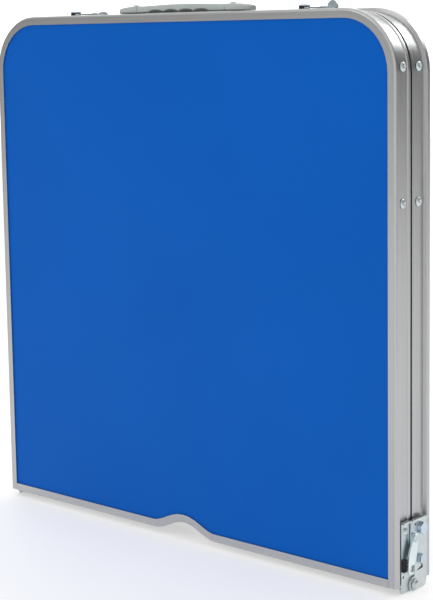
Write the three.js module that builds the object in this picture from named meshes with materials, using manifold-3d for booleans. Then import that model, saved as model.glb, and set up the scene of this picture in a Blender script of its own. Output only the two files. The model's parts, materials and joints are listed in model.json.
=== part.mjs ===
// Suitcase-style folding table, folded: two framed halves standing on their hinge edge.
// Millimetres, +Z up. The front half's top faces -Y, the rear half's top faces +Y, X runs along
// the hinge. The origin is on the ground, at the middle of the case.

import * as THREE from 'three';
import { mergeVertices } from 'three/addons/utils/BufferGeometryUtils.js';
import Module from 'manifold-3d';

const wasm = await Module();
wasm.setup();

// ---- driving dimensions ----

const WIDTH = 600;              // across the two rim beads
const HEIGHT = 600;             // hinge edge to top edge of a half
const HALF_DEPTH = 30;          // face to inner lip of a half
const SPLIT_GAP = 3;            // between the two closed halves
const HINGE_DROP = 7;           // hinge plates stand this far below the rails
const CORNER_RADIUS = 66;
const CLEAR = 0.3;              // gap between neighbouring solids

const SIDE_X = WIDTH / 2;
const FACE_Y = -SPLIT_GAP / 2 - HALF_DEPTH;
const RAIL_Z = HINGE_DROP;
const TOP_Z = RAIL_Z + HEIGHT;
const AXIS_Z = RAIL_Z - 0.5;    // fold axis, just under the hinge rails

// Frame rail section: depth is measured from the face, inset from the outer plane of the rim.
const RIM_DEPTH = 7;
const RIM_ROUND = 3;
const STEP_DEPTH = 8.5;
const WEB_INSET = 4;
const WEB_END_DEPTH = 25;
const LIP_INSET = 3;
const LIP_DEPTH = 26.5;
const WALL = 1.5;
const FLANGE_WIDTH = 10;
const LEDGE_WIDTH = 16;
const SLOT_INSET = 3.2;
const PANEL_THICKNESS = 3;
const SLOT_DEPTH = PANEL_THICKNESS + 2 * CLEAR;
const LEDGE_DEPTH = WALL + SLOT_DEPTH;
const PANEL_INSET = SLOT_INSET + 0.4;
const SIDE_RAIL_LIFT = 1.5;     // the side rail's ends stop short of the hinge edge
const WEB_X = SIDE_X - WEB_INSET;
const WEB_INNER_X = WEB_X - WALL;
const WEB_TOP_Z = TOP_Z - WEB_INSET;
const SPACER_END_X = WEB_INNER_X - 1.2;
const CORNER_STEPS = 10;

// Rounded notch in the middle of each hinge edge: half of the parasol hole of the open table.
const NOTCH_HALF_WIDTH = 48;
const NOTCH_HEIGHT = 14;
const NOTCH_STEPS = 14;

// Legs fold flat inside each half. The front pair is the wide one, the rear pair nests between.
const LEG_PIVOT_Z = TOP_Z - 60;
const STAY_PIVOT_Z = TOP_Z - 198;
const LEG_DEPTH = 17.5;
const LEG_Y = FACE_Y + LEG_DEPTH;
const FRONT_LEG_X = 279.5;
const REAR_LEG_X = 254;
const LEG_RADIUS = 10;
const LEG_WALL = 1.2;
const LEG_TUBE_START = 14;
const LEG_TUBE_END = 335;
const LUG_THICKNESS = 6;
const CROSSBAR_REACH = 240;
const CROSSBAR_RADIUS = 8;
const INNER_RADIUS = 8.5;
const INNER_START = 24;
const INNER_END = 360;
const LEG_TRAVEL = 251;         // how far an inner leg pulls out
const FOOT_RADIUS = 11;
const FOOT_TOP = 340;
const FOOT_END = 368;
const BUTTON_REACH = 322;
const BUTTON_RADIUS = 3.6;

// Two-bar stays, each bar in its own layer beside the leg.
const STAY_PITCH = 98;
const STAY_HALF_WIDTH = 6;
const STAY_THICKNESS = 1.6;
const STAY_LAYER_GAP = 0.6;
const STAY_TO_LEG = 0.5;
const KNEE_Z = STAY_PIVOT_Z - STAY_PITCH;
const KNEE_PIN_RADIUS = 2.5;

// Hinge stack at each end, in layers going outward from the side rail's web.
const PLATE_THICKNESS = 2;
const FRONT_PLATE_X = WEB_X + 1 + CLEAR;
const REAR_PLATE_X = FRONT_PLATE_X + PLATE_THICKNESS + CLEAR;
const REAR_PLATE_FACE_X = REAR_PLATE_X + PLATE_THICKNESS;
const LEVER_X = REAR_PLATE_FACE_X + 1;
const PLATE_TOP_Z = RAIL_Z + 70;
const PLATE_LEFT_Y = -21;
const PLATE_RIGHT_Y = 22;
const PLATE_SPLIT_Y = -6.5;
const FLANGE_THICKNESS = 1.5;
const LOBE_RADIUS = 8.7;
const LOBE_CHORD = Math.asin( AXIS_Z / LOBE_RADIUS );     // the lobes are cut off level with the ground
const PIVOT_HOLE_RADIUS = 4.3;
const RIVET_RADIUS = 3;
const RIVET_HOLE_RADIUS = RIVET_RADIUS + CLEAR;
const LEVER_PIVOT = [ - 2, RAIL_Z + 50.5 ];
const LOCK_PIN = [ - 9.3, RAIL_Z + 19 ];
const PLATE_RIVET = [ - 14.5, RAIL_Z + 59.5 ];
const UPPER_BOLT = [ 10.5, RAIL_Z + 58.5 ];
const LOWER_BOLT = [ 10.5, RAIL_Z + 25 ];

// Carrying handle and catches on the top edge.
const HANDLE_Y = FACE_Y + 16.75;
const HANDLE_WIDTH = 22;
const HANDLE_HEIGHT = 8.3;
const CAP_START_X = 60.7;
const CAP_END_X = 104.5;
const HANDLE_SCREW_X = 74;
const SCREW_HOLE_RADIUS = 2.3;
const STRAP_PIVOT_X = 56;
const STRAP_INNER_X = 28.5;
const STRAP_RADIUS = 3.6;
const STRAP_Z = TOP_Z + 4.6;
const GRIP_END_X = 27.7;
const CATCH_X = 173;
const CATCH_Y = 16;             // stud at -CATCH_Y, hook pivot at +CATCH_Y
const HOOK_Z = TOP_Z + 0.6;
const HOOK_THICKNESS = 1.4;

// ---- materials ----

const finish = ( color, roughness, metalness ) => () =>
	new THREE.MeshStandardMaterial( { color, roughness, metalness } );
const blueLaminate = finish( 0x005cba, 0.42, 0 );
const aluminium = finish( 0xb9bcc0, 0.36, 1 );
const zincSteel = finish( 0xb9c3be, 0.34, 1 );
const boltSteel = finish( 0xaec3d8, 0.24, 1 );
const greyPlastic = finish( 0x9ea8a3, 0.5, 0 );
const blackRubber = finish( 0x1b1d1f, 0.85, 0 );
const tubeSteel = finish( 0xc4c8ca, 0.3, 1 );

// ---- geometry helpers ----

function solidOf( geometry ) {

	const bare = geometry.clone();
	bare.deleteAttribute( 'normal' );
	bare.deleteAttribute( 'uv' );
	const merged = mergeVertices( bare, 1e-4 );
	const vertProperties = new Float32Array( merged.attributes.position.array );
	const triVerts = new Uint32Array( merged.index.array );
	return new wasm.Manifold( new wasm.Mesh( { numProp: 3, vertProperties, triVerts } ) );

}

function geometryOf( solid ) {

	const mesh = solid.getMesh();
	const geometry = new THREE.BufferGeometry();
	geometry.setAttribute( 'position', new THREE.BufferAttribute( mesh.vertProperties, 3 ) );
	geometry.setIndex( new THREE.BufferAttribute( mesh.triVerts, 1 ) );
	return geometry;

}

function cut( base, ...tools ) {

	return geometryOf( tools.reduce( ( solid, tool ) => solid.subtract( solidOf( tool ) ), solidOf( base ) ) );

}

function join( first, ...others ) {

	return geometryOf( others.reduce( ( solid, other ) => solid.add( solidOf( other ) ), solidOf( first ) ) );

}

// Mirror image across the YZ plane, with its faces turned to point out again.
function mirrored( geometry ) {

	const flat = geometry.index ? geometry.toNonIndexed() : geometry.clone();
	const position = flat.attributes.position;
	for ( let i = 0; i < position.count; i += 3 ) {

		const [ ax, ay, az ] = [ position.getX( i ), position.getY( i ), position.getZ( i ) ];
		position.setXYZ( i, - position.getX( i + 1 ), position.getY( i + 1 ), position.getZ( i + 1 ) );
		position.setXYZ( i + 1, - ax, ay, az );
		position.setX( i + 2, - position.getX( i + 2 ) );

	}

	flat.deleteAttribute( 'normal' );
	flat.deleteAttribute( 'uv' );
	return mergeVertices( flat, 1e-4 );

}

function box( x0, x1, y0, y1, z0, z1 ) {

	const geometry = new THREE.BoxGeometry( x1 - x0, y1 - y0, z1 - z0 );
	return geometry.translate( ( x0 + x1 ) / 2, ( y0 + y1 ) / 2, ( z0 + z1 ) / 2 );

}

// A turned piece: profile holds [ radius, distance along the axis ] pairs.
function turned( profile, axis, centre, segments = 16 ) {

	const points = profile.map( ( [ radius, along ] ) => new THREE.Vector2( radius, along ) );
	const rising = points[ points.length - 1 ].y > points[ 0 ].y;
	const geometry = new THREE.LatheGeometry( rising ? points : points.reverse(), segments );
	if ( axis === 'x' ) geometry.rotateZ( - Math.PI / 2 );
	if ( axis === 'z' ) geometry.rotateX( Math.PI / 2 );
	return geometry.translate( ...centre );

}

function rodX( radius, x0, x1, y, z, segments = 16 ) {

	const geometry = new THREE.CylinderGeometry( radius, radius, x1 - x0, segments );
	return geometry.rotateZ( Math.PI / 2 ).translate( ( x0 + x1 ) / 2, y, z );

}

function rodZ( radius, z0, z1, x, y, segments = 16 ) {

	const geometry = new THREE.CylinderGeometry( radius, radius, z1 - z0, segments );
	return geometry.rotateX( Math.PI / 2 ).translate( x, y, ( z0 + z1 ) / 2 );

}

// A tube along Z, open at both ends.
function tubeZ( outer, inner, z0, z1, x, y, segments = 20 ) {

	const ring = [ [ inner, z0 ], [ outer, z0 ], [ outer, z1 ], [ inner, z1 ], [ inner, z0 ] ];
	const points = ring.map( ( [ radius, along ] ) => new THREE.Vector2( radius, along ) );
	const geometry = new THREE.LatheGeometry( points, segments );
	return geometry.rotateX( Math.PI / 2 ).translate( x, y, 0 );

}

// A flat plate standing in the YZ plane: the shape's x is Y and its y is Z.
function plateX( shape, x0, thickness, curveSegments = 8 ) {

	const geometry = new THREE.ExtrudeGeometry( shape, { depth: thickness, bevelEnabled: false, curveSegments } );
	const basis = new THREE.Matrix4().makeBasis(
		new THREE.Vector3( 0, 1, 0 ), new THREE.Vector3( 0, 0, 1 ), new THREE.Vector3( 1, 0, 0 ) );
	return geometry.applyMatrix4( basis ).translate( x0, 0, 0 );

}

function plateZ( shape, z0, thickness, curveSegments = 8 ) {

	const geometry = new THREE.ExtrudeGeometry( shape, { depth: thickness, bevelEnabled: false, curveSegments } );
	return geometry.translate( 0, 0, z0 );

}

function holePath( y, z, radius ) {

	return new THREE.Path().absarc( y, z, radius, 0, Math.PI * 2, true );

}

// ---- frame rails ----

// A path in a plane of constant Y, given by its stations. Its section keeps one side on +Y
// (depth) and the other on the outward normal.
class RailPath extends THREE.Curve {

	constructor( stations ) {

		super();
		this.stations = stations;

	}

	getPoint( t, target = new THREE.Vector3() ) {

		const last = this.stations.length - 1;
		return target.copy( this.stations[ Math.round( t * last ) ].point );

	}

	getPointAt( t, target ) {

		return this.getPoint( t, target );

	}

	computeFrenetFrames() {

		const depthward = new THREE.Vector3( 0, 1, 0 );
		const tangents = this.stations.map( ( station ) => station.tangent );
		const normals = tangents.map( () => depthward );
		const binormals = tangents.map( ( tangent ) => tangent.clone().cross( depthward ) );
		return { tangents, normals, binormals };

	}

}

// Section with x = depth behind the face and y = outward from the rim's outer plane.
function railSection() {

	const section = new THREE.Shape();
	section.moveTo( 0, - FLANGE_WIDTH );
	section.lineTo( 0, - RIM_ROUND );
	section.absarc( RIM_ROUND, - RIM_ROUND, RIM_ROUND, Math.PI, Math.PI / 2, true );
	section.lineTo( RIM_DEPTH, 0 );
	section.lineTo( STEP_DEPTH, - WEB_INSET );
	section.lineTo( WEB_END_DEPTH, - WEB_INSET );
	section.lineTo( LIP_DEPTH, - LIP_INSET );
	section.lineTo( HALF_DEPTH, - LIP_INSET );
	section.lineTo( HALF_DEPTH, - LIP_INSET - WALL );
	section.lineTo( LIP_DEPTH + 0.6, - LIP_INSET - WALL );
	section.lineTo( WEB_END_DEPTH + 0.6, - WEB_INSET - WALL );
	section.lineTo( LEDGE_DEPTH + WALL, - WEB_INSET - WALL );
	section.lineTo( LEDGE_DEPTH + WALL, - LEDGE_WIDTH );
	section.lineTo( LEDGE_DEPTH, - LEDGE_WIDTH );
	section.lineTo( LEDGE_DEPTH, - SLOT_INSET );
	section.lineTo( WALL, - SLOT_INSET );
	section.lineTo( WALL, - FLANGE_WIDTH );
	section.closePath();
	return section;

}

function sweptRail( stations ) {

	return new THREE.ExtrudeGeometry( railSection(), {
		steps: stations.length - 1,
		extrudePath: new RailPath( stations ),
		curveSegments: 3,
	} );

}

function station( x, z, tangentX, tangentZ ) {

	return {
		point: new THREE.Vector3( x, FACE_Y, z ),
		tangent: new THREE.Vector3( tangentX, 0, tangentZ ).normalize(),
	};

}

function cornerStations( centreX, centreZ, startAngle ) {

	return Array.from( { length: CORNER_STEPS + 1 }, ( _, i ) => {

		const angle = startAngle - ( i / CORNER_STEPS ) * Math.PI / 2;
		const [ c, s ] = [ Math.cos( angle ), Math.sin( angle ) ];
		return station( centreX + CORNER_RADIUS * c, centreZ + CORNER_RADIUS * s, s, - c );

	} );

}

// Up the left side, across the top and down the right side, with rounded corners.
function sideRail( holes ) {

	const cornerX = SIDE_X - CORNER_RADIUS;
	const cornerZ = TOP_Z - CORNER_RADIUS;
	const endZ = RAIL_Z + SIDE_RAIL_LIFT;
	const stations = [
		station( - SIDE_X, endZ, 0, 1 ),
		...cornerStations( - cornerX, cornerZ, Math.PI ),
		...cornerStations( cornerX, cornerZ, Math.PI / 2 ),
		station( SIDE_X, endZ, 0, - 1 ),
	];
	return cut( sweptRail( stations ), ...holes );

}

function notchZ( x ) {

	const inside = Math.abs( x ) < NOTCH_HALF_WIDTH;
	return RAIL_Z + ( inside ? NOTCH_HEIGHT / 2 * ( 1 + Math.cos( Math.PI * x / NOTCH_HALF_WIDTH ) ) : 0 );

}

function notchSlope( x ) {

	const inside = Math.abs( x ) < NOTCH_HALF_WIDTH;
	const steepness = NOTCH_HEIGHT / 2 * Math.PI / NOTCH_HALF_WIDTH;
	return inside ? - steepness * Math.sin( Math.PI * x / NOTCH_HALF_WIDTH ) : 0;

}

// Stations of the hinge edge, from +X to -X.
function hingeEdgeStations( reach ) {

	const notchXs = Array.from( { length: NOTCH_STEPS + 1 }, ( _, i ) =>
		NOTCH_HALF_WIDTH * ( 1 - 2 * i / NOTCH_STEPS ) );
	return [ reach, ...notchXs, - reach ].map( ( x ) => station( x, notchZ( x ), - 1, - notchSlope( x ) ) );

}

function hingeRail() {

	const reach = SIDE_X - FLANGE_WIDTH - CLEAR;
	const ledgeX = SIDE_X - LEDGE_WIDTH - CLEAR;
	const copes = [ - 1, 1 ].map( ( side ) => box(
		Math.min( side * ledgeX, side * SIDE_X ), Math.max( side * ledgeX, side * SIDE_X ),
		FACE_Y + LEDGE_DEPTH - CLEAR, FACE_Y + LEDGE_DEPTH + WALL + CLEAR,
		RAIL_Z - 5, RAIL_Z + 40 ) );
	return cut( sweptRail( hingeEdgeStations( reach ) ), ...copes );

}

// The laminated board, held in the slot of the rails all round.
function panel() {

	const edgeX = SIDE_X - PANEL_INSET;
	const topZ = TOP_Z - PANEL_INSET;
	const radius = CORNER_RADIUS - PANEL_INSET;
	const outline = new THREE.Shape();
	outline.moveTo( - edgeX, RAIL_Z + PANEL_INSET );
	outline.lineTo( - edgeX, topZ - radius );
	outline.absarc( radius - edgeX, topZ - radius, radius, Math.PI, Math.PI / 2, true );
	outline.lineTo( edgeX - radius, topZ );
	outline.absarc( edgeX - radius, topZ - radius, radius, Math.PI / 2, 0, true );
	outline.lineTo( edgeX, RAIL_Z + PANEL_INSET );
	for ( const { point, tangent } of hingeEdgeStations( edgeX ).slice( 1, - 1 ) ) {

		outline.lineTo( point.x + PANEL_INSET * tangent.z, point.z - PANEL_INSET * tangent.x );

	}

	outline.closePath();
	const settings = { depth: PANEL_THICKNESS, bevelEnabled: false, curveSegments: CORNER_STEPS };
	const backY = FACE_Y + WALL + CLEAR + PANEL_THICKNESS;
	return new THREE.ExtrudeGeometry( outline, settings ).rotateX( Math.PI / 2 ).translate( 0, backY, 0 );

}

// ---- rivets and bolts through the side rails ----

// Rivet that carries a leg, with a spacer between the rail's web and the leg's lug.
function legRivet( legX ) {

	const lugOuter = legX + LEG_RADIUS + CLEAR;
	const lugInner = legX + LEG_RADIUS - LUG_THICKNESS - CLEAR;
	return turned( [
		[ 0, lugInner - 1.5 ], [ 4.6, lugInner - 1.5 ], [ 4.6, lugInner ], [ RIVET_RADIUS, lugInner ],
		[ RIVET_RADIUS, lugOuter ], [ 4.6, lugOuter ], [ 4.6, SPACER_END_X ],
		[ RIVET_RADIUS, SPACER_END_X ], ...rivetHead( WEB_X + CLEAR, 5.2 ),
	], 'x', [ 0, LEG_Y, LEG_PIVOT_Z ] );

}

// Profile of a tubular rivet's set head, dished in the middle.
function rivetHead( seatX, radius ) {

	return [
		[ RIVET_RADIUS, seatX ], [ radius, seatX ], [ radius * 0.96, seatX + 0.7 ],
		[ radius * 0.74, seatX + 1.5 ], [ radius * 0.48, seatX + 2 ], [ radius * 0.4, seatX + 2 ],
		[ radius * 0.3, seatX + 1.2 ], [ 0, seatX + 1.2 ],
	];

}

// Rivet clenched to a stay's rail bar, which turns in the rail's web.
function stayRivet( legX ) {

	const barOuter = railBarX( legX ) + STAY_THICKNESS;
	const spacer = SPACER_END_X - barOuter > 2 ? [ [ 4.6, barOuter - 0.5 ], [ 4.6, SPACER_END_X ] ] : [];
	return turned( [
		[ 0, barOuter - 0.5 ], ...spacer, [ RIVET_RADIUS, spacer.length ? SPACER_END_X : barOuter - 0.5 ],
		...rivetHead( WEB_X + CLEAR, 5.2 ),
	], 'x', [ 0, LEG_Y, STAY_PIVOT_Z ] );

}

function sideHoles( places ) {

	return places.flatMap( ( [ y, z ] ) => [ - 1, 1 ].map( ( side ) =>
		rodX( RIVET_HOLE_RADIUS, side > 0 ? WEB_X - 6 : - WEB_X - 4, side > 0 ? WEB_X + 4 : 6 - WEB_X, y, z ) ) );

}

function topHoles( places ) {

	return places.map( ( [ x, y, radius ] ) => rodZ( radius, WEB_TOP_Z - 6, WEB_TOP_Z + 3, x, y ) );

}

// Bolt with a hexagon head outside the rear hinge plate and a round nut inside the rail.
function hingeBolt( [ y, z ], headHalfWidth, headHeight ) {

	const seatX = REAR_PLATE_FACE_X + CLEAR;
	const head = new THREE.CylinderGeometry( headHalfWidth * 0.94, headHalfWidth, headHeight, 6 )
		.rotateZ( - Math.PI / 2 ).translate( seatX + headHeight / 2, 0, 0 );
	const shank = turned( [
		[ 0, WEB_INNER_X - 3.5 ], [ 5, WEB_INNER_X - 3.5 ], [ 5, WEB_INNER_X - CLEAR ],
		[ RIVET_RADIUS, WEB_INNER_X - CLEAR ], [ RIVET_RADIUS, seatX + 1 ], [ 0, seatX + 1 ],
	], 'x', [ 0, 0, 0 ] );
	return join( head, shank ).translate( 0, y, z );

}

// The part of a hinge plate's rivet that lies in and behind the rail's web.
const rivetTail = [
	[ 0, WEB_INNER_X - 1.8 ], [ 4.6, WEB_INNER_X - 1.8 ], [ 4.6, WEB_INNER_X - CLEAR ],
	[ RIVET_RADIUS, WEB_INNER_X - CLEAR ],
];

function plateRivet() {

	const head = rivetHead( FRONT_PLATE_X + PLATE_THICKNESS - 0.1, 4.4 );
	return turned( [ ...rivetTail, ...head ], 'x', [ 0, ...PLATE_RIVET ] );

}

// ---- hinges ----

// Bent-out stiffening flange along the top edge of a hinge plate.
function plateFlange( y0, y1, x0, reach ) {

	return box( x0, x0 + reach, y0, y1, PLATE_TOP_Z - FLANGE_THICKNESS, PLATE_TOP_Z );

}

// Front plate, with the rivets that hold it and the lock pin staked into it.
function frontHingePlate() {

	const shape = new THREE.Shape();
	shape.moveTo( PLATE_LEFT_Y, PLATE_TOP_Z );
	shape.lineTo( PLATE_LEFT_Y, RAIL_Z );
	shape.lineTo( PLATE_LEFT_Y - 1.2, RAIL_Z - 1 );
	shape.lineTo( PLATE_LEFT_Y + 1.5, 0 );
	shape.absarc( 0, AXIS_Z, LOBE_RADIUS, - LOBE_CHORD, 0.4, false );
	shape.lineTo( 3.5, RAIL_Z + 15 );
	shape.lineTo( PLATE_SPLIT_Y - CLEAR, RAIL_Z + 39 );
	shape.lineTo( PLATE_SPLIT_Y - CLEAR, PLATE_TOP_Z );
	shape.closePath();
	shape.holes.push( holePath( 0, AXIS_Z, PIVOT_HOLE_RADIUS ) );
	shape.holes.push( holePath( PLATE_LEFT_Y + 3.5, RAIL_Z + 11, 1.4 ) );
	const flange = plateFlange( PLATE_LEFT_Y, PLATE_SPLIT_Y - CLEAR, FRONT_PLATE_X, 5.4 );
	return join( plateX( shape, FRONT_PLATE_X, PLATE_THICKNESS ), flange, lockPin(), plateRivet() );

}

// Rear plate, with a spacer pad pressed in it and the lever's pivot staked into it.
function rearHingePlate() {

	const shape = new THREE.Shape();
	shape.moveTo( PLATE_SPLIT_Y + CLEAR, PLATE_TOP_Z );
	shape.lineTo( PLATE_SPLIT_Y + CLEAR, RAIL_Z + 44 );
	shape.lineTo( 0, RAIL_Z + 28 );
	shape.lineTo( 0, AXIS_Z + LOBE_RADIUS );
	shape.absarc( 0, AXIS_Z, LOBE_RADIUS, Math.PI / 2, Math.PI + LOBE_CHORD, false );
	shape.lineTo( 15, 0 );
	shape.quadraticCurveTo( PLATE_RIGHT_Y - 1, 0, PLATE_RIGHT_Y, 9 );
	shape.lineTo( PLATE_RIGHT_Y, PLATE_TOP_Z );
	shape.closePath();
	shape.holes.push( holePath( 0, AXIS_Z, PIVOT_HOLE_RADIUS ) );
	shape.holes.push( holePath( 1.5, PLATE_TOP_Z - 6, 1.4 ) );
	const window = new THREE.Path();
	window.moveTo( 3, RAIL_Z + 13 );
	window.lineTo( 14, RAIL_Z + 18.5 );
	window.lineTo( 15, RAIL_Z + 14 );
	window.closePath();
	shape.holes.push( window );
	const padBox = box( FRONT_PLATE_X, REAR_PLATE_X + 0.5, 5.5, PLATE_RIGHT_Y - 0.5, RAIL_Z + 20, PLATE_TOP_Z - 2 );
	const flange = plateFlange( PLATE_SPLIT_Y + CLEAR, PLATE_RIGHT_Y, REAR_PLATE_X, 4.2 );
	const plate = join( plateX( shape, REAR_PLATE_X, PLATE_THICKNESS ), padBox, flange, leverPivot() );
	return cut( plate, ...[ UPPER_BOLT, LOWER_BOLT ].map( ( [ y, z ] ) =>
		rodX( RIVET_HOLE_RADIUS, FRONT_PLATE_X - 2, REAR_PLATE_FACE_X + 2, y, z ) ) );

}

// Pivot of the table's fold: a rivet with a broad washer face.
function hingePivot() {

	const faceX = REAR_PLATE_FACE_X + CLEAR;
	return turned( [
		[ 0, FRONT_PLATE_X ], [ 4, FRONT_PLATE_X ], [ 4, faceX ], [ 6.2, faceX ], [ 6.2, faceX + 0.9 ],
		[ 5, faceX + 1.1 ], [ 4.6, faceX + 2.4 ], [ 2.6, faceX + 3.2 ], [ 0, faceX + 3.4 ],
	], 'x', [ 0, 0, AXIS_Z ], 20 );

}

// Lock lever: a tapered bar whose lower end hooks round the lock pin from the left.
function lockLever() {

	const [ topY, topZ ] = LEVER_PIVOT;
	const [ pinY, pinZ ] = LOCK_PIN;
	const mouth = RIVET_RADIUS + 0.6;
	const shape = new THREE.Shape();
	shape.absarc( topY, topZ, 5.2, - 0.2, Math.PI + 0.1, false );
	shape.lineTo( pinY - 4.6, pinZ + 16 );
	shape.quadraticCurveTo( pinY - 6.4, pinZ + 8, pinY - 6.4, pinZ );
	shape.quadraticCurveTo( pinY - 6.2, pinZ - 6.2, pinY, pinZ - 6.4 );
	shape.lineTo( pinY + 3.4, pinZ - 5.6 );
	shape.lineTo( pinY + 3.4, pinZ - mouth );
	shape.lineTo( pinY, pinZ - mouth );
	shape.absarc( pinY, pinZ, mouth, - Math.PI / 2, Math.PI / 2, true );
	shape.lineTo( pinY + 5, pinZ + mouth );
	shape.lineTo( pinY + 7.6, pinZ + 8 );
	shape.closePath();
	shape.holes.push( holePath( topY, topZ, RIVET_HOLE_RADIUS ) );
	return plateX( shape, LEVER_X, PLATE_THICKNESS );

}

function leverPivot() {

	const headX = LEVER_X + PLATE_THICKNESS + CLEAR;
	return turned( [
		[ 0, REAR_PLATE_X + 1 ], [ 4.4, REAR_PLATE_X + 1 ], [ 4.4, LEVER_X - CLEAR ],
		[ RIVET_RADIUS, LEVER_X - CLEAR ],
		[ RIVET_RADIUS, headX ], [ 4.4, headX ], [ 3.6, headX + 1.1 ], [ 0, headX + 1.5 ],
	], 'x', [ 0, ...LEVER_PIVOT ] );

}

// The lock pin holds the lower end of the front plate too.
function lockPin() {

	const end = REAR_PLATE_FACE_X + 0.6;
	return turned( [ ...rivetTail, [ RIVET_RADIUS, end - 0.7 ], [ 2.2, end ], [ 0, end ] ], 'x', [ 0, ...LOCK_PIN ] );

}

// Ribbed rubber buffer on the front hinge plate.
function lockBuffer() {

	const [ left, right, bottom, pitch, ribs ] = [ PLATE_LEFT_Y + 0.5, - 14.2, RAIL_Z + 17, 2.7, 5 ];
	const backX = FRONT_PLATE_X + PLATE_THICKNESS + CLEAR;
	const profile = new THREE.Shape();
	profile.moveTo( backX, bottom );
	for ( let i = 0; i < ribs; i ++ ) {

		const z = bottom + i * pitch;
		profile.lineTo( backX + 2.4, z );
		profile.lineTo( backX + 2.4, z + pitch * 0.55 );
		profile.lineTo( backX + 1.3, z + pitch * 0.7 );
		profile.lineTo( backX + 1.3, z + pitch );

	}

	profile.lineTo( backX, bottom + ribs * pitch );
	profile.closePath();
	const settings = { depth: right - left, bevelEnabled: false };
	return new THREE.ExtrudeGeometry( profile, settings ).rotateX( Math.PI / 2 ).translate( 0, right, 0 );

}

// ---- legs, in the front half's frame, right-hand side ----

function legTube( legX ) {

	const lug = new THREE.Shape();
	lug.moveTo( LEG_Y - 9, LEG_PIVOT_Z - LEG_TUBE_START - 6 );
	lug.lineTo( LEG_Y + 9, LEG_PIVOT_Z - LEG_TUBE_START - 6 );
	lug.lineTo( LEG_Y + 9, LEG_PIVOT_Z );
	lug.absarc( LEG_Y, LEG_PIVOT_Z, 9, 0, Math.PI, false );
	lug.closePath();
	lug.holes.push( holePath( LEG_Y, LEG_PIVOT_Z, RIVET_HOLE_RADIUS ) );
	const tube = tubeZ( LEG_RADIUS, LEG_RADIUS - LEG_WALL,
		LEG_PIVOT_Z - LEG_TUBE_END, LEG_PIVOT_Z - LEG_TUBE_START, legX, LEG_Y );
	const lugX = legX + LEG_RADIUS - LUG_THICKNESS;
	const buttonHole = rodX( BUTTON_RADIUS + CLEAR, legX - LEG_RADIUS - 3, legX - 5, LEG_Y,
		LEG_PIVOT_Z - BUTTON_REACH );
	return cut( join( tube, plateX( lug, lugX, LUG_THICKNESS - 0.05 ) ), buttonHole );

}

// Two leg tubes welded to a crossbar that is coped to fit them.
function legFrame( legX ) {

	const barZ = LEG_PIVOT_Z - CROSSBAR_REACH;
	const bores = [ - legX, legX ].map( ( x ) => rodZ( LEG_RADIUS - LEG_WALL, barZ - 20, barZ + 20, x, LEG_Y, 20 ) );
	const crossbar = cut( rodX( CROSSBAR_RADIUS, - legX, legX, LEG_Y, barZ ), ...bores );
	return join( crossbar, legTube( legX ), mirrored( legTube( legX ) ) );

}

// Inner leg, with one button hole for the stowed length and one for the full length.
function innerLeg( legX ) {

	const tube = tubeZ( INNER_RADIUS, INNER_RADIUS - LEG_WALL,
		LEG_PIVOT_Z - INNER_END, LEG_PIVOT_Z - INNER_START, legX, LEG_Y );
	const holes = [ BUTTON_REACH, BUTTON_REACH - LEG_TRAVEL ].map( ( reach ) =>
		rodX( BUTTON_RADIUS + CLEAR, legX - LEG_RADIUS, legX - 4, LEG_Y, LEG_PIVOT_Z - reach ) );
	return cut( tube, ...holes );

}

function foot( legX ) {

	const floor = LEG_PIVOT_Z - FOOT_END;
	const seat = LEG_PIVOT_Z - INNER_END - CLEAR;
	const bore = INNER_RADIUS + CLEAR;
	return turned( [
		[ 0, floor ], [ FOOT_RADIUS - 2, floor ], [ FOOT_RADIUS, floor + 2 ],
		[ FOOT_RADIUS, LEG_PIVOT_Z - FOOT_TOP - 1 ], [ FOOT_RADIUS - 1, LEG_PIVOT_Z - FOOT_TOP ],
		[ bore, LEG_PIVOT_Z - FOOT_TOP ], [ bore, seat ], [ 0, seat ],
	], 'z', [ legX, LEG_Y, 0 ], 20 );

}

function legButton( legX ) {

	const outer = LEG_RADIUS + 2.2;
	return turned( [
		[ 0, - outer ], [ 2.2, - outer + 0.2 ], [ 3.3, - outer + 0.9 ], [ BUTTON_RADIUS, - outer + 1.8 ],
		[ BUTTON_RADIUS, - LEG_RADIUS + 1 ], [ 0, - LEG_RADIUS + 1 ],
	], 'x', [ legX, LEG_Y, LEG_PIVOT_Z - BUTTON_REACH ] );

}

// ---- stays, in the front half's frame, right-hand side ----

function legBarX( legX ) {

	return legX + LEG_RADIUS + STAY_TO_LEG;

}

function railBarX( legX ) {

	return legBarX( legX ) + STAY_THICKNESS + STAY_LAYER_GAP;

}

function barShape( holes ) {

	const shape = new THREE.Shape();
	shape.absarc( LEG_Y, STAY_PIVOT_Z, STAY_HALF_WIDTH, 0, Math.PI, false );
	shape.absarc( LEG_Y, KNEE_Z, STAY_HALF_WIDTH, Math.PI, Math.PI * 2, false );
	shape.closePath();
	for ( const [ z, radius ] of holes ) shape.holes.push( holePath( LEG_Y, z, radius ) );
	return shape;

}

// The bar on the rail carries its own rivet and the knee pin, on which the leg's bar turns.
function railBar( legX ) {

	const bar = plateX( barShape( [] ), railBarX( legX ), STAY_THICKNESS );
	const pin = rodX( KNEE_PIN_RADIUS, legBarX( legX ), railBarX( legX ) + 0.5, LEG_Y, KNEE_Z, 12 );
	return join( bar, pin, stayRivet( legX ) );

}

function legBar( legX ) {

	const holes = [ [ STAY_PIVOT_Z, RIVET_HOLE_RADIUS ], [ KNEE_Z, KNEE_PIN_RADIUS + CLEAR ] ];
	return plateX( barShape( holes ), legBarX( legX ), STAY_THICKNESS );

}

// ---- carrying handle ----

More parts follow.
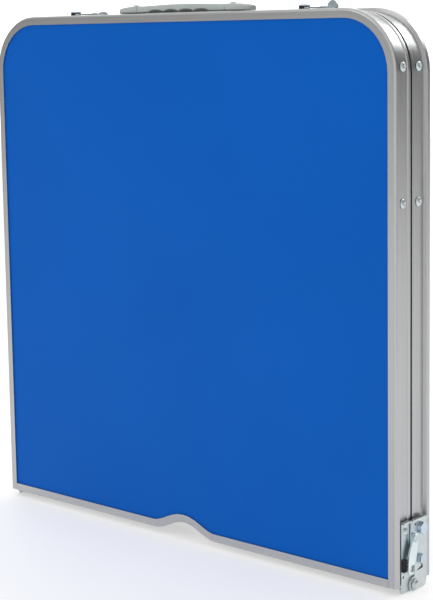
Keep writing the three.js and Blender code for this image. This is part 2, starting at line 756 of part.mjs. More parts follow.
function handleCap() {

	const [ y0, y1 ] = [ HANDLE_Y - HANDLE_WIDTH / 2, HANDLE_Y + HANDLE_WIDTH / 2 ];
	const profile = new THREE.Shape();
	const base = TOP_Z + CLEAR;
	const top = base + HANDLE_HEIGHT;
	profile.moveTo( CAP_START_X, base );
	profile.lineTo( CAP_END_X, base );
	profile.lineTo( CAP_END_X, top - 4 );
	profile.quadraticCurveTo( CAP_END_X - 0.5, top - 0.4, CAP_END_X - 9, top );
	profile.lineTo( CAP_START_X, top );
	profile.closePath();
	const block = new THREE.ExtrudeGeometry( profile, { depth: y1 - y0, bevelEnabled: false, curveSegments: 5 } )
		.rotateX( Math.PI / 2 ).translate( 0, y1, 0 );
	const roundEnd = new THREE.Shape();
	roundEnd.moveTo( CAP_START_X - 1, y0 );
	roundEnd.lineTo( CAP_END_X - 14, y0 );
	roundEnd.absellipse( CAP_END_X - 14, HANDLE_Y, 14, HANDLE_WIDTH / 2, - Math.PI / 2, Math.PI / 2, false );
	roundEnd.lineTo( CAP_START_X - 1, y1 );
	roundEnd.closePath();
	const trimmed = solidOf( block ).intersect( solidOf( plateZ( roundEnd, base - 1, HANDLE_HEIGHT + 2 ) ) );
	return cut( geometryOf( trimmed ), rodZ( SCREW_HOLE_RADIUS, base - 2, top + 2, HANDLE_SCREW_X, HANDLE_Y, 12 ) );

}

function handleScrew() {

	const seat = TOP_Z + HANDLE_HEIGHT + 2 * CLEAR;
	return turned( [
		[ 0, WEB_TOP_Z - 8 ], [ 2, WEB_TOP_Z - 8 ], [ 2, seat ], [ 4.2, seat ], [ 3.6, seat + 0.9 ],
		[ 1.8, seat + 1.4 ], [ 0, seat + 1.5 ],
	], 'z', [ HANDLE_SCREW_X, HANDLE_Y, 0 ], 12 );

}

// A stretch of the strap between two X positions, with a rounded end at its pivot.
function strapLength( shape ) {

	const width = HANDLE_WIDTH - 2;
	const settings = { depth: width, bevelEnabled: false, curveSegments: 6 };
	return new THREE.ExtrudeGeometry( shape, settings ).rotateX( Math.PI / 2 )
		.translate( 0, HANDLE_Y + width / 2, 0 );

}

function strapEnd() {

	const shape = new THREE.Shape();
	shape.moveTo( STRAP_INNER_X, STRAP_Z - STRAP_RADIUS );
	shape.lineTo( STRAP_PIVOT_X, STRAP_Z - STRAP_RADIUS );
	shape.absarc( STRAP_PIVOT_X, STRAP_Z, STRAP_RADIUS, - Math.PI / 2, Math.PI / 2, false );
	shape.lineTo( STRAP_INNER_X, STRAP_Z + STRAP_RADIUS );
	shape.closePath();
	return strapLength( shape );

}

function handleGrip() {

	const shape = new THREE.Shape();
	shape.moveTo( - GRIP_END_X, STRAP_Z - STRAP_RADIUS );
	shape.lineTo( GRIP_END_X, STRAP_Z - STRAP_RADIUS );
	shape.lineTo( GRIP_END_X, STRAP_Z + STRAP_RADIUS );
	shape.quadraticCurveTo( 0, STRAP_Z + STRAP_RADIUS + 0.8, - GRIP_END_X, STRAP_Z + STRAP_RADIUS );
	shape.closePath();
	return strapLength( shape );

}

// ---- catches ----

function catchStud( x ) {

	const head = HOOK_Z + HOOK_THICKNESS + CLEAR;
	return turned( [
		[ 0, WEB_TOP_Z - 5 ], [ 4.6, WEB_TOP_Z - 5 ], [ 4.6, WEB_TOP_Z - WALL - CLEAR ],
		[ RIVET_RADIUS, WEB_TOP_Z - WALL - CLEAR ], [ RIVET_RADIUS, head ], [ 6.2, head ],
		[ 6.2, head + 1.6 ], [ 5, head + 2.7 ], [ 0, head + 3.2 ],
	], 'z', [ x, - CATCH_Y, 0 ] );

}

function catchPivot( x ) {

	const head = HOOK_Z + HOOK_THICKNESS + CLEAR;
	return turned( [
		[ 0, WEB_TOP_Z - 5 ], [ 4.6, WEB_TOP_Z - 5 ], [ 4.6, WEB_TOP_Z - WALL - CLEAR ],
		[ RIVET_RADIUS, WEB_TOP_Z - WALL - CLEAR ], [ RIVET_RADIUS, WEB_TOP_Z + CLEAR ],
		[ 4.6, WEB_TOP_Z + CLEAR ], [ 4.6, HOOK_Z - CLEAR ], [ RIVET_RADIUS, HOOK_Z - CLEAR ],
		[ RIVET_RADIUS, head ], [ 4.6, head ], [ 4, head + 0.9 ], [ 0, head + 1.4 ],
	], 'z', [ x, CATCH_Y, 0 ] );

}

// Flat swinging hook: one finger beside the stud, and an upturned round thumb tab of the given height.
function catchHook( x, tabHeight ) {

	const [ fingerLeft, fingerRight, tipY ] = [ x + 3.5, x + 9.5, - CATCH_Y - 6 ];
	const shape = new THREE.Shape();
	shape.moveTo( fingerLeft, tipY + 2 );
	shape.quadraticCurveTo( fingerLeft, tipY, fingerLeft + 2, tipY );
	shape.quadraticCurveTo( fingerRight, tipY, fingerRight, tipY + 4 );
	shape.lineTo( fingerRight, CATCH_Y - 5 );
	shape.lineTo( x + 17.5, CATCH_Y - 3 );
	shape.lineTo( x + 17.5, CATCH_Y + 4 );
	shape.lineTo( x, CATCH_Y + 6.5 );
	shape.absarc( x, CATCH_Y, 6.5, Math.PI / 2, Math.PI * 1.4, false );
	shape.lineTo( fingerLeft, CATCH_Y - 12 );
	shape.closePath();
	shape.holes.push( holePath( x, CATCH_Y, RIVET_HOLE_RADIUS ) );
	const plate = plateZ( shape, HOOK_Z, HOOK_THICKNESS );
	const tab = new THREE.Shape();
	tab.moveTo( x + 3.5, HOOK_Z );
	tab.lineTo( x + 17.5, HOOK_Z );
	tab.absellipse( x + 10.5, HOOK_Z + 1.9, 7, tabHeight, 0, Math.PI, false );
	tab.closePath();
	const upright = new THREE.ExtrudeGeometry( tab, { depth: HOOK_THICKNESS, bevelEnabled: false, curveSegments: 10 } )
		.rotateX( Math.PI / 2 ).translate( 0, CATCH_Y + 4, 0 );
	return join( plate, upright );

}

// ---- assembly ----

const table = new THREE.Group();
const rear = new THREE.Group();
rear.rotation.z = Math.PI;
table.add( rear );

function add( parent, name, geometry, material ) {

	const mesh = new THREE.Mesh( geometry, material() );
	mesh.name = name;
	parent.add( mesh );

}

// A piece made at local +X and its mirror image, each named for the side it ends up on.
function addPair( parent, name, geometry, material ) {

	const [ own, other ] = parent === rear ? [ 'left', 'right' ] : [ 'right', 'left' ];
	add( parent, `${ name }_${ own }`, geometry, material );
	add( parent, `${ name }_${ other }`, mirrored( geometry ), material );

}

// What each half holds of its own. The rear half is the same work turned half a turn about Z.
function addHalf( parent, half, legX, railHoles ) {

	add( parent, `${ half }_panel`, panel(), blueLaminate );
	add( parent, `${ half }_side_rail`, sideRail( railHoles ), aluminium );
	add( parent, `${ half }_hinge_rail`, hingeRail(), aluminium );
	add( parent, `${ half }_leg_frame`, legFrame( legX ), tubeSteel );
	addPair( parent, `${ half }_leg_rivet`, legRivet( legX ), zincSteel );
	addPair( parent, `${ half }_inner_leg`, innerLeg( legX ), tubeSteel );
	addPair( parent, `${ half }_foot`, foot( legX ), blackRubber );
	addPair( parent, `${ half }_leg_button`, legButton( legX ), boltSteel );
	addPair( parent, `${ half }_stay_rail_bar`, railBar( legX ), zincSteel );
	addPair( parent, `${ half }_stay_leg_bar`, legBar( legX ), zincSteel );

}

const legHoles = [ [ LEG_Y, LEG_PIVOT_Z ], [ LEG_Y, STAY_PIVOT_Z ] ];
const catchHoles = [ - CATCH_X, CATCH_X ].map( ( x ) => [ x, - CATCH_Y, RIVET_HOLE_RADIUS ] );
const screwHoles = [ - HANDLE_SCREW_X, HANDLE_SCREW_X ].map( ( x ) => [ x, HANDLE_Y, SCREW_HOLE_RADIUS ] );
const boltHoles = [ UPPER_BOLT, LOWER_BOLT ].map( ( [ y, z ] ) => [ - y, z ] );
addHalf( table, 'front', FRONT_LEG_X, [
	...sideHoles( [ ...legHoles, PLATE_RIVET, LOCK_PIN ] ), ...topHoles( [ ...catchHoles, ...screwHoles ] ),
] );
addHalf( rear, 'rear', REAR_LEG_X, [
	...sideHoles( [ ...legHoles, ...boltHoles ] ), ...topHoles( catchHoles ),
] );

addPair( table, 'front_hinge_plate', frontHingePlate(), zincSteel );
addPair( table, 'rear_hinge_plate', rearHingePlate(), zincSteel );
addPair( table, 'rear_hinge_upper_bolt', hingeBolt( UPPER_BOLT, 7, 4.6 ), boltSteel );
addPair( table, 'rear_hinge_lower_bolt', hingeBolt( LOWER_BOLT, 5.8, 3.6 ), boltSteel );
addPair( table, 'hinge_pivot', hingePivot(), zincSteel );
addPair( table, 'lock_lever', lockLever(), zincSteel );
addPair( table, 'lock_buffer', lockBuffer(), blackRubber );
addPair( table, 'handle_cap', handleCap(), greyPlastic );
addPair( table, 'handle_screw', handleScrew(), zincSteel );
addPair( table, 'handle_strap_end', strapEnd(), greyPlastic );
add( table, 'handle_grip', handleGrip(), greyPlastic );

for ( const [ side, x, tabHeight ] of [ [ 'left', - CATCH_X, 1.8 ], [ 'right', CATCH_X, 7 ] ] ) {

	add( table, `catch_stud_${ side }`, catchStud( x ), boltSteel );
	add( table, `catch_pivot_${ side }`, catchPivot( x ), zincSteel );
	add( table, `catch_hook_${ side }`, catchHook( x, tabHeight ), zincSteel );

}

export default table;
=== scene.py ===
"""Looks of the folded suitcase table: materials, moulded handle, studio and camera around the CAD frame.

Everything is in metres in the frame of the CAD part: +Z up, -Y out of the front half, X along the hinge.
"""

import json
import math

import bmesh
import bpy
from mathutils import Matrix, Vector


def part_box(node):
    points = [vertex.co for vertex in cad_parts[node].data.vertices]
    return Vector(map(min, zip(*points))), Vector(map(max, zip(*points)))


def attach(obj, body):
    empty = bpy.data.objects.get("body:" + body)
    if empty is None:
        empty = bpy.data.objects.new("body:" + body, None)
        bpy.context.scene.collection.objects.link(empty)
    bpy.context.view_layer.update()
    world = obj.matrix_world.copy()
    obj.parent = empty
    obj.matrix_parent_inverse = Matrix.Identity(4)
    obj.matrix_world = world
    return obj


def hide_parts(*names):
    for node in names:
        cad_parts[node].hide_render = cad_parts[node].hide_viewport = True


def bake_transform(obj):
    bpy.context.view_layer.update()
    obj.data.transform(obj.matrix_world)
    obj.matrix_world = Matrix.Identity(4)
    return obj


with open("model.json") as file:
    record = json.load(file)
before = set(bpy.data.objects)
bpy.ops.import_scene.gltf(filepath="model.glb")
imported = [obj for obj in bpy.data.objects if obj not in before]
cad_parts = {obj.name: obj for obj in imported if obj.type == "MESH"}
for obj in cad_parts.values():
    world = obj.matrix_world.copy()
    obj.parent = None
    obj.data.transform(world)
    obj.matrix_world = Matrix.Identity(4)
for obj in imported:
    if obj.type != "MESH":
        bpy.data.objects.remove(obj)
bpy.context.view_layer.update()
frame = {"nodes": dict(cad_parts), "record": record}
nodes = frame["nodes"]
MM = 0.001

# ---- camera ----

YAW = math.radians(-41.879)     # heading, clockwise from +Y seen from above
PITCH = math.radians(7.675)     # downwards
ROLL = math.radians(0.94)
LENS = 95.57                    # mm on a 36 mm tall sensor
CAMERA_PLACE = Vector((1.2205, -1.3402, 0.5819))
SHIFT = (0.0127, -0.0842)


def add_camera():
    forward = Vector((math.sin(YAW) * math.cos(PITCH), math.cos(YAW) * math.cos(PITCH), -math.sin(PITCH)))
    level = Vector((math.cos(YAW), -math.sin(YAW), 0))
    down = forward.cross(level)
    right = level * math.cos(ROLL) + down * math.sin(ROLL)
    up = level * math.sin(ROLL) - down * math.cos(ROLL)
    data = bpy.data.cameras.new("camera")
    data.sensor_fit = "VERTICAL"
    data.sensor_height = 36
    data.lens = LENS
    data.shift_x, data.shift_y = SHIFT
    data.clip_start = 0.05
    data.clip_end = 50
    camera = bpy.data.objects.new("camera", data)
    turn = Matrix((right, up, -forward)).transposed().to_4x4()
    camera.matrix_world = Matrix.Translation(CAMERA_PLACE) @ turn
    bpy.context.scene.collection.objects.link(camera)
    bpy.context.scene.camera = camera


# ---- material building ----


class Shader:
    """A Principled material and short ways to add nodes to it."""

    def __init__(self, name, color, roughness, metallic=0.0, **sockets):
        self.material = bpy.data.materials.new(name)
        self.material.use_nodes = True
        self.tree = self.material.node_tree
        self.surface = self.tree.nodes["Principled BSDF"]
        self.set("Base Color", (*color, 1))
        self.set("Roughness", roughness)
        self.set("Metallic", metallic)
        for socket, value in sockets.items():
            self.set(socket.replace("_", " "), value)
        geometry = self.add("ShaderNodeNewGeometry")
        self.normal = geometry.outputs["Normal"]
        self.place = self.add("ShaderNodeTexCoord").outputs["Object"]

    def add(self, kind, **settings):
        node = self.tree.nodes.new(kind)
        for key, value in settings.items():
            setattr(node, key, value)
        return node

    def set(self, socket, value):
        if isinstance(value, bpy.types.NodeSocket):
            self.tree.links.new(value, self.surface.inputs[socket])
        else:
            self.surface.inputs[socket].default_value = value

    def fill(self, node, inputs):
        for index, value in enumerate(inputs):
            if isinstance(value, bpy.types.NodeSocket):
                self.tree.links.new(value, node.inputs[index])
            elif value is not None:
                node.inputs[index].default_value = value
        return node

    def math(self, operation, *inputs):
        return self.fill(self.add("ShaderNodeMath", operation=operation), inputs).outputs[0]

    def vector(self, x, y, z):
        return self.fill(self.add("ShaderNodeCombineXYZ"), (x, y, z)).outputs[0]

    def axes(self):
        split = self.add("ShaderNodeSeparateXYZ")
        self.tree.links.new(self.place, split.inputs[0])
        return split.outputs

    def noise(self, scale, detail=3.0, roughness=0.5, at=None, stretch=(1, 1, 1)):
        """Noise value, finer along the axes that stretch makes larger."""
        mapping = self.add("ShaderNodeMapping")
        self.tree.links.new(at or self.place, mapping.inputs["Vector"])
        mapping.inputs["Scale"].default_value = stretch
        texture = self.add("ShaderNodeTexNoise")
        texture.inputs["Scale"].default_value = scale
        texture.inputs["Detail"].default_value = detail
        texture.inputs["Roughness"].default_value = roughness
        self.tree.links.new(mapping.outputs[0], texture.inputs["Vector"])
        return texture.outputs["Fac"]

    def between(self, value, low, high, start=0.3, stop=0.7):
        """value spread from start..stop to low..high."""
        node = self.add("ShaderNodeMapRange")
        return self.fill(node, (value, start, stop, low, high)).outputs[0]

    def blend(self, value, first, second):
        mix = self.add("ShaderNodeMix", data_type="RGBA")
        for key, item in (("Factor", value), ("A", first), ("B", second)):
            socket = next(s for s in mix.inputs if s.name == key and s.enabled)
            if isinstance(item, bpy.types.NodeSocket):
                self.tree.links.new(item, socket)
            else:
                socket.default_value = (*item, 1) if isinstance(item, tuple) else item
        return next(s for s in mix.outputs if s.enabled)

    def bump(self, *layers):
        """Layers of (height value, depth in metres), one on top of the other."""
        normal = None
        for height, depth in layers:
            node = self.add("ShaderNodeBump")
            node.inputs["Strength"].default_value = 1
            node.inputs["Distance"].default_value = depth
            self.tree.links.new(height, node.inputs["Height"])
            if normal:
                self.tree.links.new(normal, node.inputs["Normal"])
            normal = node.outputs[0]
        self.set("Normal", normal)

    def edge_wear_and_highlight(self, radius):
        """1 on outer edges and 0 on flat stretches, from the difference that a small bevel makes."""
        bevel = self.add("ShaderNodeBevel", samples=4)
        bevel.inputs["Radius"].default_value = radius
        dot = self.add("ShaderNodeVectorMath", operation="DOT_PRODUCT")
        self.tree.links.new(bevel.outputs[0], dot.inputs[0])
        self.tree.links.new(self.normal, dot.inputs[1])
        return self.between(dot.outputs["Value"], 1.0, 0.0, 0.85, 0.995)


def tint(color, factor):
    return tuple(min(1.0, c * factor) for c in color)


# ---- materials ----

BLUE = (0.0002, 0.104, 0.485)
ALUMINIUM = (0.485, 0.488, 0.492)
ZINC = (0.60, 0.64, 0.63)
BOLT = (0.56, 0.63, 0.70)
TUBE = (0.60, 0.61, 0.62)
PLASTIC = (0.43, 0.475, 0.46)
RUBBER_AND_SHADE_BLACK = (0.018, 0.019, 0.021)
WORN_ALUMINIUM = (0.84, 0.85, 0.86)
WORN_STEEL = (0.86, 0.89, 0.90)
RAIL_CORNER = 66 * MM       # corner radius of the side rails


def blue_laminate():
    shader = Shader("blue_laminate", BLUE, 0.42, Specular_IOR_Level=0.08)
    cloud = shader.noise(5.0, 2.0)
    fleck = shader.noise(900.0, 2.0)
    base = shader.blend(shader.between(cloud, 0, 1), tint(BLUE, 0.97), tint(BLUE, 1.04))
    flecks = shader.between(fleck, 0.0, 0.25, 0.55, 0.8)
    shader.set("Base Color", shader.blend(flecks, base, tint(BLUE, 1.12)))
    scuff = shader.noise(60.0, 4.0, stretch=(1, 1, 6))
    shader.set("Roughness", shader.between(scuff, 0.38, 0.46))
    peel = shader.noise(320.0, 2.0)
    shader.bump((peel, 0.00004), (fleck, 0.00001))
    return shader.material


def rail_coordinate(shader, corner_x, corner_z):
    """Distance from the lines between the corner centres: constant along the rail, also round its corners."""
    x, _, z = shader.axes()
    across = shader.math("MAXIMUM", shader.math("SUBTRACT", shader.math("ABSOLUTE", x), corner_x), 0)
    upward = shader.math("MAXIMUM", shader.math("SUBTRACT", z, corner_z), 0)
    squares = [shader.math("MULTIPLY", side, side) for side in (across, upward)]
    return shader.math("SQRT", shader.math("ADD", *squares))


def extruded(name, across_rail):
    """Satin extruded aluminium: die lines along the rail, faint handling marks and brighter edges."""
    shader = Shader(name, ALUMINIUM, 0.34, 1.0)
    x, y, z = shader.axes()
    across = across_rail(shader)
    along = shader.math("MULTIPLY", shader.math("ADD", x, z), 0.004)
    line_place = shader.vector(across, y, along)
    fine = shader.noise(2600.0, 2.0, at=line_place)
    broad = shader.noise(260.0, 3.0, at=line_place)
    marks = shader.noise(14.0, 5.0, 0.6)
    base = shader.blend(shader.between(broad, 0, 1), tint(ALUMINIUM, 0.93), tint(ALUMINIUM, 1.06))
    base = shader.blend(shader.between(marks, 0.0, 0.22, 0.5, 0.75), base, tint(ALUMINIUM, 0.86))
    edge = shader.edge_wear_and_highlight(0.0004)
    shader.set("Base Color", shader.blend(shader.math("MULTIPLY", edge, 0.4), base, WORN_ALUMINIUM))
    shader.set("Roughness", shader.between(fine, 0.27, 0.40))
    shader.bump((fine, 0.000015), (broad, 0.00004))
    return shader.material


def side_rail_aluminium():
    half_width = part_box("front_side_rail")[1][0]
    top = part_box("front_side_rail")[1][2]
    centre = (half_width - RAIL_CORNER, top - RAIL_CORNER)
    return extruded("side_rail_aluminium", lambda shader: rail_coordinate(shader, *centre))


def hinge_rail_aluminium():
    return extruded("hinge_rail_aluminium", lambda shader: shader.axes()[2])


def plated(name, color, roughness, cloudiness=0.10, painted_shade_below=None):
    """Zinc-plated sheet or bolt: cloudy tint, scratches, rubbed edges and painted shade below a height."""
    shader = Shader(name, color, roughness, 1.0)
    cloud = shader.noise(55.0, 4.0, 0.6)
    cool = (color[0] * 0.86, color[1] * 0.97, color[2] * 1.10)
    base = shader.blend(shader.between(cloud, 0, 1), tint(color, 1 - cloudiness), tint(color, 1 + cloudiness))
    tone = shader.noise(22.0, 2.0)
    base = shader.blend(shader.between(tone, 0.0, 0.6), base, cool)
    edge = shader.edge_wear_and_highlight(0.0005)
    base = shader.blend(shader.math("MULTIPLY", edge, 0.7), base, WORN_STEEL)
    # painted shade under a stud's head: near-black and not metallic below the given height
    if painted_shade_below:
        painted_shade_mask = shader.between(shader.axes()[2], 1.0, 0.0, painted_shade_below - 0.0002, painted_shade_below)
        base = shader.blend(painted_shade_mask, base, RUBBER_AND_SHADE_BLACK)
        shader.set("Metallic", shader.math("SUBTRACT", 1.0, painted_shade_mask))
    shader.set("Base Color", base)
    scratch = shader.noise(700.0, 3.0, stretch=(1, 1, 0.05))
    shader.set("Roughness", shader.between(scratch, roughness * 0.8, roughness * 1.3))
    shader.bump((scratch, 0.00001), (cloud, 0.00004))
    return shader.material


def tube_steel():
    shader = Shader("tube_steel", TUBE, 0.28, 1.0)
    draw = shader.noise(500.0, 3.0, stretch=(1, 1, 0.02))
    cloud = shader.noise(30.0, 3.0)
    shader.set("Base Color", shader.blend(shader.between(cloud, 0, 1), tint(TUBE, 0.92), tint(TUBE, 1.06)))
    shader.set("Roughness", shader.between(draw, 0.22, 0.36))
    shader.bump((draw, 0.00001),)
    return shader.material


def grey_plastic():
    shader = Shader("grey_plastic", PLASTIC, 0.52, Specular_IOR_Level=0.4)
    grain = shader.noise(1500.0, 2.0)
    cloud = shader.noise(40.0, 3.0)
    base = shader.blend(shader.between(cloud, 0, 1), tint(PLASTIC, 0.93), tint(PLASTIC, 1.06))
    edge = shader.edge_wear_and_highlight(0.0006)
    shader.set("Base Color", shader.blend(shader.math("MULTIPLY", edge, 0.35), base, tint(PLASTIC, 1.5)))
    shader.set("Roughness", shader.between(grain, 0.44, 0.6))
    shader.bump((grain, 0.00003), (cloud, 0.00005))
    return shader.material


def black_rubber():
    shader = Shader("black_rubber", RUBBER_AND_SHADE_BLACK, 0.78, Specular_IOR_Level=0.35)
    grain = shader.noise(800.0, 4.0)
    dust = shader.noise(90.0, 4.0, 0.7)
    base = shader.blend(shader.between(dust, 0.0, 0.5, 0.5, 0.8), RUBBER_AND_SHADE_BLACK, tint(RUBBER_AND_SHADE_BLACK, 3.0))
    # the ribs' edges painted lighter: a painted highlight on the rubber
    edge = shader.edge_wear_and_highlight(0.0003)
    shader.set("Base Color", shader.blend(shader.math("MULTIPLY", edge, 0.6), base, tint(RUBBER_AND_SHADE_BLACK, 9.0)))
    shader.set("Roughness", shader.between(grain, 0.68, 0.88))
    shader.bump((grain, 0.00004),)
    return shader.material


# ---- finish of the CAD nodes ----

BEVEL_WIDTH = {"side_rail": 0.25, "hinge_rail": 0.25, "plate": 0.2, "lever": 0.25, "hook": 0.2}     # mm
OTHER_BEVEL = 0.15
STUD_UNSHADED_TOP = 1.9 * MM      # height of a catch stud's top that stays out of the painted shade under its head
SPECIAL = {"lock_lever": "lever_steel_painted_light", "catch_stud": "stud_steel"}
FACETED = ("hinge_upper_bolt", "hinge_lower_bolt", "lock_buffer")


def dress_cad_nodes():
    """Materials for the carried-over CAD nodes, fine bevels and smooth shading."""
    made = {
        "blue_laminate": blue_laminate(),
        "zinc_steel": plated("zinc_steel", ZINC, 0.33),
        "bright_steel": plated("bright_steel", BOLT, 0.24, 0.06),
        # the lever's zinc is painted lighter than the plates' zinc: painted light for the brightness of the
        # raised lever
        "lever_steel_painted_light": plated("lever_steel_painted_light", tint(ZINC, 1.22), 0.30),
        "stud_steel": plated("stud_steel", BOLT, 0.28, 0.08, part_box("catch_stud_left")[1][2] - STUD_UNSHADED_TOP),
        "tube_steel": tube_steel(),
        "grey_plastic": grey_plastic(),
        "black_rubber": black_rubber(),
    }
    rails = {"side_rail": side_rail_aluminium(), "hinge_rail": hinge_rail_aluminium()}
    slots = {part["node"]: part["material_slot"] for part in frame["record"]["subparts"]}
    for name, node in nodes.items():
        rail = next((kind for kind in rails if name.endswith(kind)), None)
        special = next((kind for kind in SPECIAL if kind in name), None)
        material = rails[rail] if rail else made[SPECIAL.get(special, slots[name])]
        node.data.materials.clear()
        node.data.materials.append(material)
        if not any(kind in name for kind in FACETED):
            width = next((w for kind, w in BEVEL_WIDTH.items() if kind in name), OTHER_BEVEL)
            soften(node, width * MM)
    return made


def soften(obj, width):
    """Joined corners, fine bevels on the sharp edges, and normals that follow the larger faces."""
    weld = obj.modifiers.new("joined", "WELD")
    weld.merge_threshold = 0.00001
    bevel = obj.modifiers.new("edges", "BEVEL")
    bevel.width = width
    bevel.segments = 2
    bevel.limit_method = "ANGLE"
    bevel.angle_limit = math.radians(32)
    weighted = obj.modifiers.new("normals", "WEIGHTED_NORMAL")
    weighted.weight = 60
    weighted.keep_sharp = False
    for polygon in obj.data.polygons:
        polygon.use_smooth = True


# ---- moulded handle ----

CAP_INNER = {"left": 64 * MM, "right": 70.6 * MM}
CAP_OUTER = {"left": 96 * MM, "right": 102 * MM}
CAP_SLOPE = 26 * MM         # the cap's top falls away over this length
CAP_FALL = 2.9 * MM
CAP_FALL_POWER = 1.7
CAP_ROUND = 0.7 * MM        # length, width and height that the rounding takes at the cap's ends
CAP_ROUND_WIDTH = 1.2 * MM
CAP_ROUND_HEIGHT = 0.6 * MM
CAP_STEP = 1.5 * MM         # between sections
PLAN_ROUND = 13 * MM        # the cap narrows towards its outer end over this length
PLAN_NARROWING = 0.82       # how much the square of its half width loses there
STRAP_END = {"left": 63.85 * MM, "right": 69.4 * MM}
STRAP_ROUND = {"left": 0.3 * MM, "right": 3.0 * MM}
STRAP_RISE = 1.9 * MM       # the strap is higher in the middle
STRAP_TOP_DROP = 0.3 * MM
STRAP_SAG = 0.6 * MM        # the underside lies this much lower than the CAD strap's
STRAP_ROUND_WIDTH = 0.8 * MM
STRAP_STEP = 1.0 * MM
FINGER_COUNT = 4
FINGER_PITCH = 23 * MM
FINGER_START = -FINGER_COUNT * FINGER_PITCH / 2
FINGER_DEPTH = 3.4 * MM
FINGER_POWER = 0.7          # below 1 the hollows have broad floors
FINGER_REACH = 1.4          # how fast a hollow deepens from the middle line to the front
RING_POINTS = 36
SQUARENESS = 4.5            # exponent of the rounded sections
ROUNDING_STEPS = 4
WEB_INSET = 4 * MM          # the rail's web lies this far inside its rim
COLLAR_RADIUS = 6 * MM
COLLAR_FLAT = 3.3 * MM      # from the stud's axis
COLLAR_CHAMFER = 0.4 * MM
COLLAR_GAP = 0.3 * MM       # above the web
STUD_HEAD = 3.3 * MM        # from under a stud's head to its top


def ring(x, middle_y, half_width, bottom, top, finger):
    """Rounded-box section across the handle; finger lifts its lower front edge."""
    points = []
    half_height = (top - bottom) / 2
    for i in range(RING_POINTS):
        angle = 2 * math.pi * i / RING_POINTS
        c, s = math.cos(angle), math.sin(angle)
        across = math.copysign(abs(c) ** (2 / SQUARENESS), c)
        upward = math.copysign(abs(s) ** (2 / SQUARENESS), s)
        z = bottom + half_height * (1 + upward)
        if upward < 0 and across < 0:
            z += finger * -upward * min(1.0, FINGER_REACH * -across)
        points.append((x, middle_y + half_width * across, z))
    return points


def lofted(name, rings, material):
    """Closed smooth mesh through rings of equal length, with flat ends."""
    mesh = bpy.data.meshes.new(name)
    shaped = bmesh.new()
    loops = [[shaped.verts.new(point) for point in points] for points in rings]
    count = len(loops[0])
    for first, second in zip(loops, loops[1:]):
        for i in range(count):
            j = (i + 1) % count
            shaped.faces.new((first[i], first[j], second[j], second[i]))
    shaped.faces.new(loops[0][::-1])
    shaped.faces.new(loops[-1])
    bmesh.ops.recalc_face_normals(shaped, faces=shaped.faces)
    for face in shaped.faces:
        face.smooth = True
    shaped.to_mesh(mesh)
    shaped.free()
    mesh.materials.append(material)
    obj = bpy.data.objects.new(name, mesh)
    bpy.context.scene.collection.objects.link(obj)
    normals = obj.modifiers.new("normals", "WEIGHTED_NORMAL")
    normals.weight = 60
    return obj


def finger_lift(x):
    """How far the finger hollows lift the lower front edge at x."""
    step = (x - FINGER_START) / FINGER_PITCH
    if step <= 0 or step >= FINGER_COUNT:
        return 0.0
    return FINGER_DEPTH * max(0.0, math.sin(math.pi * (step % 1))) ** FINGER_POWER


def rounded_stations(start, stop, step, round_off):
    """Positions from start to stop, finer near both ends, each with how complete the rounding is there."""
    steps = range(ROUNDING_STEPS)
    offsets = [round_off * (1 - math.cos(math.pi / 2 * i / ROUNDING_STEPS)) for i in steps]
    length = stop - start - 2 * round_off
    count = max(2, round(length / step))
    middle = [start + round_off + length * i / count for i in range(count + 1)]
    stations = [start + offset for offset in offsets] + middle + [stop - offset for offset in offsets[::-1]]
    placed = []
    for x in stations:
        near = min(x - start, stop - x, round_off) / round_off
        placed.append((x, math.sqrt(max(0.0, 1 - (1 - near) ** 2))))
    return placed


def add_cap(side, sign, material):
    """End cap: high beside the strap, sloping to a round outer end."""
    (_, y0, z0), (_, y1, z1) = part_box(f"handle_cap_{side}")
    rings = []
    outer = CAP_OUTER[side]
    for x, share in rounded_stations(CAP_INNER[side], outer, CAP_STEP, CAP_ROUND):
        past = max(0.0, x - (outer - PLAN_ROUND)) / PLAN_ROUND
        half_width = (y1 - y0) / 2 * math.sqrt(1 - PLAN_NARROWING * past**2) - CAP_ROUND_WIDTH * (1 - share)
        fall = max(0.0, x - (outer - CAP_SLOPE)) / CAP_SLOPE
        top = z1 - CAP_FALL * fall**CAP_FALL_POWER - CAP_ROUND_HEIGHT * (1 - share)
        rings.append(ring(sign * x, (y0 + y1) / 2, half_width, z0, top, 0.0))
    cap = lofted(f"moulded_cap_{side}", rings, material)
    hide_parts(f"handle_cap_{side}")
    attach(cap, "front_half")


def add_strap(side, sign, nodes_for, material):
    """Half of the flexible strap, held by its cap and bending up to the middle of the grip."""
    (_, y0, z0), (_, y1, z1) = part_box(f"handle_strap_end_{side}")
    rings = []
    end, rounding = STRAP_END[side], STRAP_ROUND[side]
    for x, share in rounded_stations(0.0, end, STRAP_STEP, rounding):
        missing = rounding * (1 - share) if x > end / 2 else 0.0
        top = z1 - STRAP_TOP_DROP + STRAP_RISE * math.cos(math.pi / 2 * x / end) - missing
        bottom = z0 - STRAP_SAG + missing
        half_width = (y1 - y0) / 2 - min(missing, STRAP_ROUND_WIDTH)
        rings.append(ring(sign * x, (y0 + y1) / 2, half_width, bottom, top, finger_lift(sign * x)))
    strap = lofted(f"moulded_strap_{side}", rings, material)
    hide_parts(*nodes_for)
    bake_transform(strap)


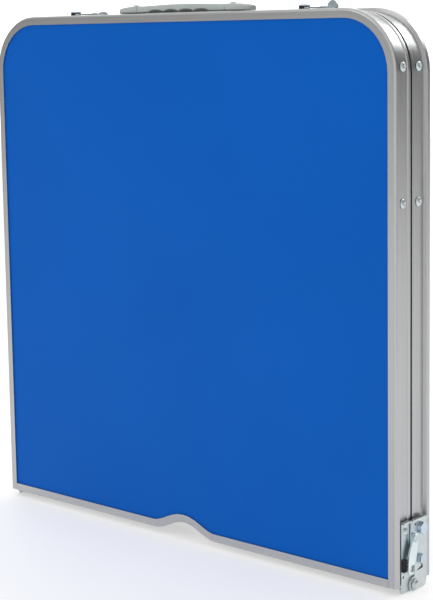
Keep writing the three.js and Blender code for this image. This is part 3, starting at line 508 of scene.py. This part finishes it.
def add_painted_shade_collar(side, material):
    """Dark collar under a catch stud's head as painted shade, with a flat beside the hook's finger."""
    (x0, y0, _), (x1, y1, z1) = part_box(f"catch_stud_{side}")
    middle_x, middle_y = (x0 + x1) / 2, (y0 + y1) / 2
    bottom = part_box("front_side_rail")[1][2] - WEB_INSET + COLLAR_GAP
    top = z1 - STUD_HEAD
    profile = (
        (bottom, COLLAR_RADIUS - COLLAR_CHAMFER),
        (bottom + COLLAR_CHAMFER, COLLAR_RADIUS),
        (top - COLLAR_CHAMFER, COLLAR_RADIUS),
        (top, COLLAR_RADIUS - COLLAR_CHAMFER / 2),
    )
    angles = [2 * math.pi * i / RING_POINTS for i in range(RING_POINTS)]
    rings = []
    for z, radius in profile:
        across = [min(radius * math.cos(angle), COLLAR_FLAT) for angle in angles]
        along = [radius * math.sin(angle) for angle in angles]
        rings.append([(middle_x + x, middle_y + y, z) for x, y in zip(across, along)])
    collar = lofted(f"painted_shade_collar_{side}", rings, material)
    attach(collar, "front_half")


def add_handle(material):
    for side, sign in (("left", -1), ("right", 1)):
        add_cap(side, sign, material)
    add_strap("left", -1, ["handle_strap_end_left", "handle_grip"], material)
    add_strap("right", 1, ["handle_strap_end_right"], material)


# ---- studio ----

FLOOR_HALF = 6.0            # metres
BACK_RIGHT_DIMMING = 0.96   # how much darker or brighter than the plain room a wall is
FRONT_LEFT_DIMMING = 0.72
BACK_LEFT_GAIN = 0.6


def area_light(name, place, target, size, power):
    data = bpy.data.lights.new(name, "AREA")
    data.shape = "RECTANGLE"
    data.size, data.size_y = size
    data.energy = power
    light = bpy.data.objects.new(name, data)
    light.location = place
    light.rotation_euler = (Vector(target) - Vector(place)).to_track_quat("-Z", "Y").to_euler()
    bpy.context.scene.collection.objects.link(light)


def shade_walls(tree):
    """White room with a brighter back left wall and greyer front left and back right walls."""
    background = tree.nodes["Background"]
    place = tree.nodes.new("ShaderNodeTexCoord").outputs["Generated"]
    split = tree.nodes.new("ShaderNodeSeparateXYZ")
    tree.links.new(place, split.inputs[0])

    def value(operation, *inputs):
        node = tree.nodes.new("ShaderNodeMath")
        node.operation = operation
        for socket, item in zip(node.inputs, inputs):
            if isinstance(item, bpy.types.NodeSocket):
                tree.links.new(item, socket)
            else:
                socket.default_value = item
        return node.outputs[0]

    def wall(direction, strength):
        """Strength times the squared cosine to a level direction, in front of it only."""
        facing = value("MULTIPLY", direction, math.sqrt(0.5))
        return value("MULTIPLY", value("POWER", value("MAXIMUM", facing, 0.0), 2.0), strength)

    x, y = split.outputs["X"], split.outputs["Y"]
    back_right = value("ADD", x, y)
    front_left = value("MULTIPLY", back_right, -1.0)
    dimmed = value("ADD", wall(back_right, BACK_RIGHT_DIMMING), wall(front_left, FRONT_LEFT_DIMMING))
    lit = wall(value("SUBTRACT", y, x), BACK_LEFT_GAIN)
    tree.links.new(value("SUBTRACT", value("ADD", 1.0, lit), dimmed), background.inputs["Strength"])
    background.inputs["Color"].default_value = (1, 1, 1, 1)


def add_studio():
    floor_mesh = bpy.data.meshes.new("floor")
    shaped = bmesh.new()
    signs = ((-1, -1), (1, -1), (1, 1), (-1, 1))
    shaped.faces.new([shaped.verts.new((x * FLOOR_HALF, y * FLOOR_HALF, 0)) for x, y in signs])
    shaped.to_mesh(floor_mesh)
    shaped.free()
    floor = bpy.data.objects.new("floor", floor_mesh)
    shader = Shader("pale_floor", (0.93, 0.93, 0.93), 0.6, Specular_IOR_Level=0.1)
    mottle = shader.noise(3.0, 2.0)
    base = shader.blend(shader.between(mottle, 0, 1), (0.62, 0.62, 0.62), (0.65, 0.65, 0.65))
    shader.set("Base Color", base)
    shader.set("Emission Color", (1, 1, 1, 1))
    shader.set("Emission Strength", 0.44)
    floor_mesh.materials.append(shader.material)
    bpy.context.scene.collection.objects.link(floor)

    world = bpy.data.worlds.new("studio")
    world.use_nodes = True
    shade_walls(world.node_tree)
    bpy.context.scene.world = world
    area_light("left_front", (-1.3, -2.8, 2.0), (-0.25, 0, 0.35), (1.4, 1.4), 12)
    area_light("back_top", (0.9, 2.2, 2.3), (0.25, 0, 0.5), (1.6, 1.1), 20)
    bpy.context.scene.view_settings.view_transform = "Standard"


add_camera()
made = dress_cad_nodes()
add_handle(made["grey_plastic"])
# dark collars that put painted shade under the catch studs' heads
for stud_side in ("left", "right"):
    add_painted_shade_collar(stud_side, made["black_rubber"])
add_studio()
